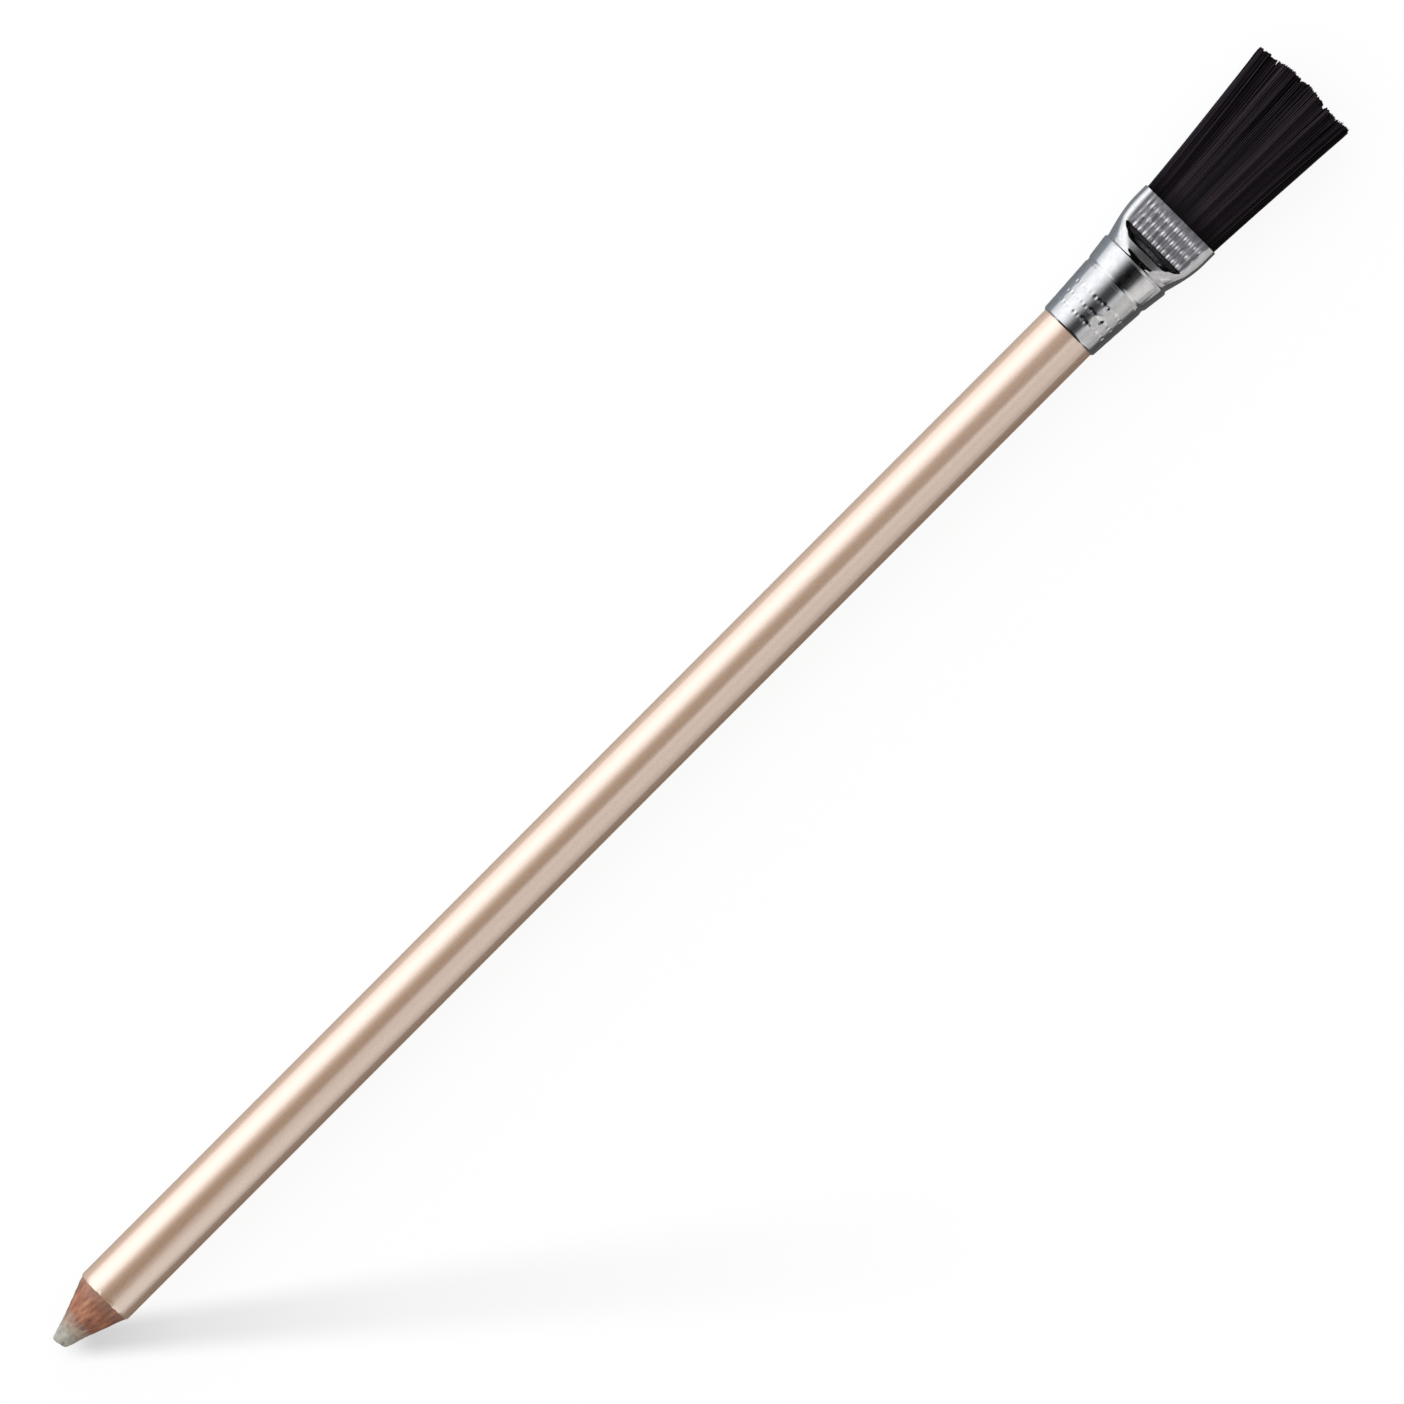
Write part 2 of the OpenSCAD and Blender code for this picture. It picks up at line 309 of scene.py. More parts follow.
def steps_of(tree, along, across):
    """The piece's own coordinates, counted in steps of so many millimetres along and across the pencil."""
    own = add(tree, "TexCoord").node.outputs["Object"]
    scale = (1 / (along * MM), 1 / (across * MM), 1 / (across * MM))
    return add(tree, "Mapping", {"Vector": own, "Scale": scale})


def grows_along(tree, start, end, most=1.0):
    """Grows from 0 at one place along the pencil to a most at another, in millimetres from the tip."""
    return add(tree, "MapRange", {
        "Value": own_place(tree)["X"],
        "From Min": TIP_X + start * MM,
        "From Max": TIP_X + end * MM,
        "To Max": most,
    })


def pearl_lacquer():
    """Nitro lacquer with mica pearl: a warm tan under a broad milky sheen, with a faint ripple along the
    barrel. The mica throws back more light than bare lacquer does, so both layers have a high IOR."""
    material, tree = new_tree("pearl_lacquer")
    # Mica flakes of 0.05 mm, drawn coarser so that they show
    flakes = add(tree, "TexNoise", {
        "Vector": steps_of(tree, along=0.3, across=0.15), "Scale": 1.0, "Detail": 2.0,
    })
    colour = add(tree, "ValToRGB", {"Fac": flakes}, stops=[(0.35, "#E3B084"), (0.65, "#ECBC92")])
    # Ripples that the dipping leaves, about a millimetre apart
    ripple = add(tree, "TexNoise", {
        "Vector": steps_of(tree, along=22, across=1.1), "Scale": 1.0, "Detail": 2.0,
    })
    bump = add(tree, "Bump", {"Height": ripple, "Strength": 0.5, "Distance": 0.02 * MM})
    shader = add(tree, "BsdfPrincipled", {
        "Base Color": colour,
        "Roughness": 0.17,
        "IOR": 2.8,
        "Specular IOR Level": 1.0,
        "Coat Weight": 1.0,
        "Coat IOR": 2.0,
        "Coat Roughness": 0.4,
        "Normal": bump,
    })
    add(tree, "OutputMaterial", {"Surface": shader})
    return material


def sharpened_cedar():
    """Stained incense cedar, cut by a sharpener: reddish, with fine lengthwise grain and pores, and with
    eraser dust rubbed in."""
    material, tree = new_tree("sharpened_cedar")
    # Growth rings of about 0.65 mm, stretched along the cut
    lines = add(tree, "TexNoise", {
        "Vector": steps_of(tree, along=3.5, across=0.65), "Scale": 1.0, "Detail": 3.0,
    })
    wood = add(tree, "ValToRGB", {"Fac": lines}, stops=[(0.3, "#804A37"), (0.5, "#A16548"), (0.7, "#BC7F5C")])
    # Cells of 0.04 mm, drawn as wider pores so that they show
    pores = add(tree, "TexNoise", {
        "Vector": steps_of(tree, along=1.1, across=0.13), "Scale": 1.0, "Detail": 2.0,
    })
    dark = add(tree, "ValToRGB", {"Fac": pores}, stops=[(0.3, "#7C4634"), (0.45, "#FFFFFF")])
    wood = add(tree, "MixRGB", {"Fac": 0.35, "Color1": wood, "Color2": dark}, blend_type="MULTIPLY")
    # Eraser dust lies in patches next to the rubber
    smear = grows_along(tree, POINT_LEN + 1.9, POINT_LEN - 0.3)
    patches = add(tree, "TexNoise", {
        "Vector": steps_of(tree, along=1.2, across=0.5), "Scale": 1.0, "Detail": 3.0,
    })
    dusted = add(tree, "Math", {0: smear, 1: patches}, operation="MULTIPLY")
    share = add(tree, "ValToRGB", {"Fac": dusted}, stops=[(0.2, "#000000"), (0.5, "#D8D8D8")])
    colour = add(tree, "MixRGB", {"Fac": share, "Color1": wood, "Color2": linear("#A9A297")})
    # Handling has greyed the wood next to the lacquer
    handled = grows_along(tree, cone_x(BARREL_R) - 2, cone_x(BARREL_R), most=0.9)
    greyed = add(tree, "Math", {0: handled, 1: patches}, operation="MULTIPLY")
    colour = add(tree, "MixRGB", {"Fac": greyed, "Color1": colour, "Color2": linear("#9C8775")})
    bump = add(tree, "Bump", {"Height": pores, "Strength": 0.6, "Distance": 0.03 * MM})
    shader = add(tree, "BsdfPrincipled", {
        "Base Color": colour, "Roughness": 0.55, "IOR": 1.5, "Specular IOR Level": 0.6, "Normal": bump,
    })
    add(tree, "OutputMaterial", {"Surface": shader})
    return material


def grit_rubber():
    """Ink eraser, rubber filled with grit: matt and grey, mottled by graphite and worn to a crumbly face."""
    material, tree = new_tree("grit_rubber")
    mottle = add(tree, "TexNoise", {
        "Vector": steps_of(tree, along=0.7, across=0.6), "Scale": 1.0, "Detail": 4.0,
    })
    clean = add(tree, "ValToRGB", {"Fac": mottle}, stops=[
        (0.3, "#93948A"), (0.5, "#AEAA9E"), (0.7, "#C2BBAF"),
    ])
    # Sharpening smears the wood's colour over the rubber next to it
    stained = grows_along(tree, 1.5, POINT_LEN)
    stain = add(tree, "ValToRGB", {"Fac": mottle}, stops=[(0.3, "#9E826F"), (0.7, "#BFA390")])
    colour = add(tree, "MixRGB", {"Fac": stained, "Color1": clean, "Color2": stain})
    # Grit of 0.05 mm, drawn coarser so that it shows
    grit = add(tree, "TexNoise", {
        "Vector": steps_of(tree, along=0.12, across=0.12), "Scale": 1.0, "Detail": 3.0,
    })
    bump = add(tree, "Bump", {"Height": grit, "Strength": 0.8, "Distance": 0.04 * MM})
    shader = add(tree, "BsdfPrincipled", {
        "Base Color": colour, "Roughness": 0.88, "IOR": 1.5, "Specular IOR Level": 0.3, "Normal": bump,
    })
    add(tree, "OutputMaterial", {"Surface": shader})
    return material


def drawn_aluminium():
    """Bright-dipped aluminium sheet, drawn and pressed: mirror-like with fine lengthwise drawing lines, and
    satin on the knurled flats."""
    material, tree = new_tree("drawn_aluminium")
    # The flats lie beyond the slope, between the smooth sides and near the top or the bottom
    place = own_place(tree)
    beyond = grows_along(tree, FOOT_X, FOOT_X + 0.15)
    height = add(tree, "Math", {0: place["Z"], 1: AXIS_Z}, operation="SUBTRACT")
    raised = add(tree, "MapRange", {
        "Value": add(tree, "Math", {0: height}, operation="ABSOLUTE"),
        "From Min": (MOUTH_H - 0.55) * MM,
        "From Max": (MOUTH_H - 0.25) * MM,
    })
    between = add(tree, "MapRange", {
        "Value": add(tree, "Math", {0: place["Y"]}, operation="ABSOLUTE"),
        "From Min": (MOUTH_F + 0.3) * MM,
        "From Max": (MOUTH_F - 0.2) * MM,
        "To Max": beyond,
    })
    flat = add(tree, "Math", {0: between, 1: raised}, operation="MULTIPLY")
    # Drawing lines of 0.02 mm, drawn wider so that they show
    lines = add(tree, "TexNoise", {
        "Vector": steps_of(tree, along=3, across=0.12), "Scale": 1.0, "Detail": 3.0,
    })
    bright = add(tree, "MapRange", {
        "Value": lines, "From Min": 0.3, "From Max": 0.7, "To Min": 0.11, "To Max": 0.19,
    })
    rough = add(tree, "MapRange", {"Value": flat, "To Min": bright, "To Max": 0.36})
    handled = add(tree, "TexNoise", {
        "Vector": steps_of(tree, along=0.8, across=0.6), "Scale": 1.0, "Detail": 3.0,
    })
    clean = add(tree, "ValToRGB", {"Fac": handled}, stops=[(0.3, "#CED0D3"), (0.65, "#DBDCDE")])
    # Streaks that the bristles and the knurling roller rubbed into the flats
    streaks = add(tree, "TexNoise", {
        "Vector": steps_of(tree, along=2.2, across=0.32), "Scale": 1.0, "Detail": 3.0,
    })
    rubbed = add(tree, "ValToRGB", {"Fac": streaks}, stops=[(0.36, "#A6A7AF"), (0.6, "#E2E2E7")])
    colour = add(tree, "MixRGB", {"Fac": flat, "Color1": clean, "Color2": rubbed})
    depth = add(tree, "MapRange", {"Value": flat, "To Min": 0.4, "To Max": 3.0})
    drawn = add(tree, "Math", {0: lines, 1: depth}, operation="MULTIPLY")
    bump = add(tree, "Bump", {"Height": drawn, "Strength": 0.3, "Distance": 0.01 * MM})
    shader = add(tree, "BsdfPrincipled", {
        "Base Color": colour, "Metallic": 1.0, "Roughness": rough, "Normal": bump,
    })
    add(tree, "OutputMaterial", {"Surface": shader})
    return material


def black_nylon():
    """Extruded nylon bristle, dyed through: near black with a warm purple cast and a dull satin line."""
    material, tree = new_tree("black_nylon")
    tone = add(tree, "Attribute", attribute_name=TONE).node.outputs["Fac"]
    streaks = add(tree, "TexNoise", {
        "Vector": steps_of(tree, along=9, across=0.5), "Scale": 1.0, "Detail": 2.0,
    })
    shade = add(tree, "MixRGB", {"Fac": 0.25, "Color1": tone, "Color2": streaks})
    dyed = add(tree, "ValToRGB", {"Fac": shade}, stops=[(0.2, "#0F0A0E"), (0.5, "#1F181E"), (0.8, "#382E35")])
    # Painted shade: the filaments are coloured darker where they are packed in the mouth, as little light
    # gets in there
    free = grows_along(tree, MOUTH_X - 0.5, MOUTH_X + 3)
    colour = add(tree, "MixRGB", {"Fac": free, "Color1": linear("#080508"), "Color2": dyed})
    shader = add(tree, "BsdfPrincipled", {
        "Base Color": colour, "Roughness": 0.45, "IOR": 1.53, "Specular IOR Level": 0.12,
    })
    add(tree, "OutputMaterial", {"Surface": shader})
    return material


def cast_adhesive(name, thin, thick):
    """A set adhesive: amber and cloudy, a little uneven in colour, with a soft gloss."""
    material, tree = new_tree(name)
    clouds = add(tree, "TexNoise", {
        "Vector": steps_of(tree, along=1.5, across=1.2), "Scale": 1.0, "Detail": 3.0,
    })
    colour = add(tree, "ValToRGB", {"Fac": clouds}, stops=[(0.35, thick), (0.65, thin)])
    bump = add(tree, "Bump", {"Height": clouds, "Strength": 0.4, "Distance": 0.1 * MM})
    shader = add(tree, "BsdfPrincipled", {
        "Base Color": colour, "Roughness": 0.35, "IOR": 1.5, "Normal": bump,
    })
    add(tree, "OutputMaterial", {"Surface": shader})
    return material


# The pencil's pieces


def eraser_rod():
    """The eraser: a worn, uneven tip, the sharpened cone and the rod that runs through the wood."""
    steps = 120
    step = 0.08
    lean = math.atan((CORE_R - TIP_R) / POINT_LEN)
    wear_x = TIP_ROUND * (1 - math.sin(lean))
    wear_r = TIP_R + wear_x * math.tan(lean) - TIP_ROUND * math.cos(lean)
    face = [(0, wear_r * share) for share in (0.08, 0.3, 0.55, 0.8)]
    turns = np.radians(np.linspace(-90, -math.degrees(lean), 9))
    rim = [(TIP_ROUND + TIP_ROUND * math.sin(t), wear_r + TIP_ROUND * math.cos(t)) for t in turns]
    bare = [(x, TIP_R + (CORE_R - TIP_R) * x / POINT_LEN) for x in np.arange(wear_x + step, POINT_LEN, step)]
    rod = [(x, CORE_R) for x in np.linspace(POINT_LEN, BLANK_LEN, 30)]
    rings = turn(face + rim + bare + rod, full_turn(steps)).transpose(1, 0, 2)
    lumps = LUMP_H * grain(rings, LUMP_SIZE, seed=1) + CRUMB_H * grain(rings, CRUMB_SIZE, seed=2)
    fade = np.clip((POINT_LEN + LUMP_FADE - rings[..., 0]) / LUMP_FADE, 0, 1)
    rings = push(rings, lumps * fade)
    worn = np.clip(1 - rings[..., 0] / WEAR_LEN, 0, 1)
    # The tip is worn lower on its -Y side
    uneven = WEAR_DEPTH * grain(rings, WEAR_SIZE, seed=3)
    rings[..., 0] += worn * (WEAR_DEPTH + uneven - WEAR_LEAN * rings[..., 1])
    points, faces = rings.reshape(-1, 3), skin(rings, False)
    return piece("eraser_rod", points, faces, grit_rubber(), "eraser_core")


def cedar_half(name, node, side, wood):
    """Half of the wood, with the flats that the sharpener's blade left on the cone."""
    up_cone, around = 26, 90
    inner, outer = CORE_R + SEAT_GAP, BARREL_R - COAT_T - SEAT_GAP
    cone = [(cone_x(r), r) for r in np.linspace(inner, outer, up_cone)]
    outline = cone + [(BLANK_LEN, outer), (BLANK_LEN, inner)]
    rings = turn(outline, np.linspace(GLUE_ANGLE, math.pi - GLUE_ANGLE, around) * side)
    place = np.arange(len(outline))
    blade = BLADE_H * np.cos(rings[..., 1] * WAVES_ACROSS + rings[..., 0] * WAVES_ALONG)
    chatter = blade + FIBRE_H * grain(rings, FIBRE_SIZE, seed=4)
    rings = push(rings, np.where(place < len(cone), chatter - CUT_DEPTH, 0))
    # The wood breaks away unevenly where it leaves the eraser
    rings[..., 0] += np.where(place == 0, BREAK_LEN * grain(rings, BREAK_SIZE, seed=5), 0)
    if side < 0:
        rings = rings[::-1]
    return piece(name, rings.reshape(-1, 3), skin(rings, False), wood, node)


def lacquer_sleeve():
    """The coat of lacquer, chipped a little where the sharpener cut it."""
    along, around = 110, 160
    cut = [(cone_x(BARREL_R - COAT_T), BARREL_R - COAT_T), (cone_x(BARREL_R), BARREL_R)]
    # This ring keeps the chips' slope short
    behind = (cone_x(BARREL_R) + 0.12, BARREL_R)
    barrel = [(x, BARREL_R) for x in np.linspace(cone_x(BARREL_R) + 0.5, EDGE_X, along)]
    end = [(BLANK_LEN, BARREL_R - END_TAPER), (BLANK_LEN, BARREL_R - COAT_T)]
    outline = cut + [behind] + barrel + end
    rings = turn(outline, full_turn(around))
    chips = CHIP_LEN * grain(rings, CHIP_SIZE, seed=6) + NOTCH_LEN * grain(rings, NOTCH_SIZE, seed=7)
    rings[..., 0] += np.where(np.arange(len(outline)) < len(cut), chips, 0)
    faces = skin(rings, True)
    return piece("lacquer_sleeve", rings.reshape(-1, 3), faces, pearl_lacquer(), "lacquer_coat")


def round_radius(x):
    """Outside radius of the ferrule's round part."""
    edge_r = BARREL_R + SEAT_GAP + SHEET_T
    collar_r = edge_r + (GROOVE_1 - GROOVE_HALF - EDGE_X) * GRIP_TAPER
    stations = [EDGE_X, GROOVE_1 - GROOVE_HALF, GROOVE_1 + GROOVE_HALF, GROOVE_2 - GROOVE_HALF]
    radius = np.interp(x, stations, [edge_r, collar_r, collar_r + SHOULDER_H, CREST_R])
    for groove, half, depth in (
        (GROOVE_1, GROOVE_HALF, GROOVE_1_DEPTH),
        (GROOVE_2, GROOVE_2_HALF, GROOVE_2_DEPTH),
    ):
        away = min(1, abs(x - groove) / half)
        radius -= depth * (1 + math.cos(math.pi * away)) / 2
    return radius


def spaced(outline, count):
    """Points spaced evenly round a closed outline, and its length."""
    closed = np.vstack([outline, outline[:1]])
    along = np.concatenate([[0], np.cumsum(np.linalg.norm(np.diff(closed, axis=0), axis=1))])
    places = np.arange(count) / count * along[-1]
    return np.stack([np.interp(places, along, closed[:, k]) for k in (0, 1)], axis=-1), along[-1]


def even_ring(outline, count, soften=0.0):
    """Points spaced evenly round a closed outline, whose corners are first softened over a length."""
    fine = 2400
    dense, length = spaced(outline, fine)
    width = int(soften / length * fine / 2)
    if width:
        dense = sum(np.roll(dense, shift, axis=0) for shift in range(-width, width + 1)) / (2 * width + 1)
    return spaced(dense, count)[0]


def pressed_outline(x, inset):
    """Two flats joined by rounded sides. b is half its width, h half its thickness and f half of a flat."""
    swell = math.sin(math.pi / 2 * min(1, (x - GROOVE_2) / SWELL_LEN))
    b = START_R + (MOUTH_B - START_R) * swell - inset
    heights = (START_R, START_R - STEP_DROP, START_R - STEP_DROP - BROW_DROP, MOUTH_H)
    h = np.interp(x, (GROOVE_2, BROW_X, SLOPE_X, FOOT_X), heights) - inset
    if x < BROW_X:
        # The step cuts across the round tube, so it widens as a chord does
        f = START_F + (BROW_F - START_F) * math.sqrt((x - GROOVE_2) / (BROW_X - GROOVE_2))
    else:
        f = np.interp(x, (BROW_X, FOOT_X, MOUTH_X), (BROW_F, FOOT_F, MOUTH_F))
    # The sides are arcs of the tube at the step and fuller at the mouth
    on_side, on_flat = 40, 15
    share = np.linspace(0, 1, on_side)
    radius = ((b - f) ** 2 + h * h) / (2 * (b - f))
    arc = share * math.atan2(h, f - b + radius)
    round_side = np.stack([b - radius + radius * np.cos(arc), radius * np.sin(arc)], axis=-1)
    turned = share * math.pi / 2
    bend = 2 / SIDE_FULLNESS
    full_side = np.stack([f + (b - f) * np.abs(np.cos(turned)) ** bend, h * np.sin(turned) ** bend], axis=-1)
    side = round_side + np.interp(x, (BROW_X, FOOT_X), (0, 1)) * (full_side - round_side)
    across = np.linspace(f, -f, on_flat)[1:-1]
    flat = np.stack([across, np.full(len(across), h)], axis=-1)
    half = np.vstack([side, flat, side[::-1] * [-1, 1]])
    # The brow and the flats are a little crowned
    places = (GROOVE_2, BROW_X, SLOPE_X, SLOPE_X + 0.5, FOOT_X, FOOT_X + 0.8)
    crown = np.interp(x, places, (0, BROW_CROWN, BROW_CROWN, 0, 0, FLAT_CROWN))
    half[:, 1] *= 1 + crown * (f * f / 2 - np.minimum(half[:, 0] ** 2, f * f)) / h
    return np.vstack([half, half[-2:0:-1] * [1, -1]])


def ferrule_ring(x, inset=0.0, soften=0.0):
    """The ferrule's section at x, as (y, z) points from +Y over the top."""
    if x < GROOVE_2:
        angles = full_turn(FERRULE_SIDES)
        return (round_radius(x) - inset) * np.stack([np.cos(angles), np.sin(angles)], axis=-1)
    return even_ring(pressed_outline(x, inset), FERRULE_SIDES, soften)


def dents(x, angle, radius):
    """Depth of the crimp's dents at x and an angle round the ferrule."""
    step = 2 * math.pi / CRIMP_COUNT
    depth = np.zeros_like(angle)
    for row, row_x in enumerate(CRIMP_ROWS):
        column = np.round((angle - math.pi / 2) / step)
        off = (angle - math.pi / 2 - column * step) * radius
        # No two teeth of the crimping wheel cut alike. The waves only mix the columns and the rows
        uneven = np.sin(column * 2.4 + row * 1.9)
        astray = DENT_ASTRAY_ALONG * np.cos(column * 4.1 + row)
        away = np.hypot(off - DENT_ASTRAY_ROUND * uneven, x - row_x - astray) / DENT_R
        depth -= DENT_DEPTH * (1 + DENT_UNEVEN * uneven) * np.exp(-(away ** 2) * DENT_FALL)
    off = (angle - math.acos(PUNCH_Y / radius.mean())) * radius
    return depth - PUNCH_DEPTH * np.exp(-((off ** 2 + (x - PUNCH_X) ** 2) / PUNCH_R ** 2) * DENT_FALL)


def knurl(x, y, half_flat):
    """Height of the ribs and beads on a flat."""
    # The ribs rise at the slope's foot and run out before the mouth
    rise = np.clip((x - FOOT_X + 0.1) / 0.3, 0, 1)
    run_out = np.clip((MOUTH_X - 0.35 - x) / 0.5, 0, 1)
    rib = RIB_H * (1 + np.cos(2 * math.pi * (y - KNURL_Y) / RIB_PITCH)) / 2 * rise * run_out
    count = np.round((y - KNURL_Y) / RIB_PITCH)
    column = y - KNURL_Y - count * RIB_PITCH
    bead = np.zeros_like(y)
    for row, row_x in enumerate(BEAD_ROWS):
        # The wave only mixes the columns and the rows
        height = 1 + BEAD_UNEVEN * np.sin(count * 3.7 + row * 2.3)
        bead += height * np.exp(-((column ** 2 + ((x - row_x) / BEAD_STRETCH) ** 2) / BEAD_R ** 2))
    inside = np.clip((half_flat + 0.1 - abs(y + KNURL_ASTRAY)) / 0.25, 0, 1)
    return (rib + BEAD_H * bead) * inside


def stood(x, ring):
    """A section's (y, z) points stood at x."""
    return np.column_stack([np.full(len(ring), x), ring])


def pressed_ferrule():
    """The drawn tube: crimped on the wood, rolled with two grooves, and pressed flat round the bristles."""
    # Its rings stand closer together from just before the second groove
    closer_x = GROOVE_2 - 0.3
    stations = np.concatenate([
        np.arange(EDGE_X + BEVEL_LEN, closer_x, GRIP_STEP),
        np.arange(closer_x, MOUTH_X - 0.03, PRESS_STEP),
    ])
    outer = []
    angles = full_turn(FERRULE_SIDES)
    for x in stations:
        ring = ferrule_ring(x)
        if x > GROOVE_2 - 0.15:
            ring = sum(ferrule_ring(min(x + d, MOUTH_X), soften=CORNER_SOFT) for d in BLUR) / len(BLUR)
        y, z = ring.T
        if x < GROOVE_1 - GROOVE_HALF:
            radius = np.hypot(y, z)
            ring = ring * (1 + dents(x, angles, radius) / radius)[:, None]
        if x > FOOT_X - 0.3:
            half_flat = FOOT_F + (MOUTH_F - FOOT_F) * max(0, x - FOOT_X) / (MOUTH_X - FOOT_X)
            # The knurl fades out down the rounded sides
            flat = np.clip((abs(z) - MOUTH_H + 0.4) / 0.2, 0, 1)
            ring = ring + np.stack([0 * y, np.sign(z) * knurl(x, y, half_flat) * flat], axis=-1)
        outer.append(stood(x, ring))
    # Inside, its rings run back from the mouth to the edge
    in_press, in_grip = 20, 14
    inner_x = list(np.linspace(MOUTH_X - 0.05, GROOVE_2 + 0.1, in_press))
    inner_x += list(np.linspace(GROOVE_2 - 0.1, GROOVE_1 - GROOVE_HALF, in_grip)) + [EDGE_X + 0.05]
    inner = [stood(x, ferrule_ring(x, SHEET_T, CORNER_SOFT)) for x in inner_x]
    mouth = [
        stood(MOUTH_X, ferrule_ring(MOUTH_X, RIM_ROUND, CORNER_SOFT)),
        stood(MOUTH_X, ferrule_ring(MOUTH_X, SHEET_T - RIM_ROUND, CORNER_SOFT)),
    ]
    edge = [
        stood(EDGE_X, ferrule_ring(EDGE_X, SHEET_T - RIM_ROUND / 2)),
        stood(EDGE_X, ferrule_ring(EDGE_X, BEVEL_H)),
        stood(EDGE_X + BEVEL_LEN * 0.8, ferrule_ring(EDGE_X, BEVEL_H * 0.2)),
    ]
    rings = np.array(outer + mouth + inner + edge)
    points, faces = rings.reshape(-1, 3), skin(rings, True)
    return piece("pressed_ferrule", points, faces, drawn_aluminium(), "ferrule", crease=50)


def nylon_filaments():
    """The brush: fine filaments set in the resin, which spread from the mouth and gather into locks."""
    rng = np.random.default_rng(7)
    gap = SHEET_T + SEAT_GAP + FILAMENT_R
    b, h, f = MOUTH_B - gap, MOUTH_H - FLAT_CROWN * MOUTH_F ** 2 / 2 - gap, MOUTH_F - gap
    splay, lean = (SPLAY_LEFT + SPLAY_RIGHT) / 2, (SPLAY_LEFT - SPLAY_RIGHT) / 2
    # Rows of roots fill the mouth, each half a pitch off the last
    roots = []
    for j, z in enumerate(np.arange(-h, h, FILAMENT_PITCH * math.sqrt(3) / 2)):
        half = f + (b - f) * (1 - abs(z / h) ** SIDE_FULLNESS) ** (1 / SIDE_FULLNESS)
        ys = np.arange(-half + (j % 2) * FILAMENT_PITCH / 2, half + 0.01, FILAMENT_PITCH)
        roots += [(y, z, y / half, z / h) for y in ys]
    roots = np.array(roots)
    count = len(roots)
    root = roots[:, :2] + rng.uniform(-ROOT_ASTRAY, ROOT_ASTRAY, (count, 2))
    u, w = roots[:, 2], roots[:, 3]
    spread = np.stack([splay * u + lean, SPLAY_THICK * w], axis=-1)
    tip = root + spread
    # Each tip is drawn towards the lock that is nearest to it
    locks = rng.uniform((-1, -1), (1, 1), (LOCK_COUNT, 2))
    lock_at = np.stack([locks[:, 0] * (b + splay) + lean, locks[:, 1] * (h + SPLAY_THICK)], axis=-1)
    nearest = np.argmin(np.linalg.norm((tip[:, None] - lock_at[None]) * [1, 0.5], axis=-1), axis=1)
    pull = rng.uniform(*LOCK_PULL, LOCK_COUNT)[nearest][:, None]
    gather = (lock_at[nearest] - tip) * pull + rng.normal(0, TIP_ASTRAY, (count, 2))
    # A few of the locks end well short of the others
    short = np.interp(u, TRIM_ACROSS, TRIM_SHORT) + LOCK_SHORT * (rng.uniform(0, 1, LOCK_COUNT) ** 3)[nearest]
    short += rng.uniform(0, FILAMENT_SHORT, count)
    # Tones come in ribbons across the brush, in locks and in single filaments
    ribbons = grain(np.column_stack([tip[:, 0], 0.3 * tip[:, 1], 0 * u]), 0.6, seed=8)
    by_lock = rng.uniform(-1, 1, LOCK_COUNT)[nearest]
    tone = 0.5 + 0.4 * ribbons + 0.25 * by_lock + 0.2 * rng.uniform(-1, 1, count)
    base_x = MOUTH_X - RECESS - BACKING_T
    reach = RECESS + BACKING_T + BRISTLE_LEN - short
    wave = rng.uniform(0, 2 * math.pi, (count, 2))
    corner = full_turn(FILAMENT_SIDES)
    circle = FILAMENT_R * np.stack([np.cos(corner), np.sin(corner)], axis=-1)
    rings = np.zeros((count, len(FILAMENT_SHARES), FILAMENT_SIDES, 3))
    for k, (share, swell) in enumerate(zip(FILAMENT_SHARES, FILAMENT_SWELL)):
        # How far out of the mouth the ring stands. The spread grows a little faster further out
        free = max(0, (share * reach.mean() - RECESS - BACKING_T) / BRISTLE_LEN)
        middle = root + spread * (0.8 * free + 0.2 * free ** 2) + gather * free ** 2
        middle = middle + WAVE_H * free * np.sin(wave + WAVE_RADIANS * free)
        rings[:, k, :, 0] = (base_x + reach * share)[:, None]
        rings[:, k, :, 1:] = middle[:, None] + circle * swell
    # The faces of one filament serve them all. Its two caps come last
    one = np.array(skin(rings[0], False)[:-2])
    per = len(FILAMENT_SHARES) * FILAMENT_SIDES
    faces = (one[None] + np.arange(count)[:, None, None] * per).reshape(-1, 4).tolist()
    first = np.arange(FILAMENT_SIDES)
    faces += [(first[::-1] + k * per).tolist() for k in range(count)]
    faces += [(first + per - FILAMENT_SIDES + k * per).tolist() for k in range(count)]
    points = rings.reshape(-1, 3)
    made = piece("nylon_filaments", points, faces, black_nylon(), "bristles", crease=60)
    made.data.attributes.new(TONE, "FLOAT", "POINT").data.foreach_set("value", np.repeat(tone, per))
    return made


# The stage, in metres

# The tent of lit cloth over the pencil, with its levels at degrees from the zenith, where +Y is positive
TENT_R = 1.2
TENT_END = 1.6
TENT_PEAK = 1.5
BARREL_LEVELS = (
    (-90, 0.52), (-67, 0.7), (-49, 0.6), (-35, 0.8), (-28, 0.62), (-20, 0.15), (-10, 0.065),
    (4, 0.075), (11, 0.17), (20, 0.46), (29, 0.85), (37, 1.12), (47, 1.36), (60, 1.48), (76, 1.26), (90, 1.0),
)
NECK_LEVELS = (
    (-90, 0.95), (-66, 0.9), (-48, 0.74), (-40, 0.3), (-33, 0.03), (-11, 0),
    (4, 0.01), (14, 0.13), (23, 0.45), (31, 0.9), (40, 1.3), (59, 1.5), (90, 1.4),
)
# Between these two places along it the tent's levels turn from the barrel's to the neck's
BARREL_END = -0.1
NECK_START = -0.13
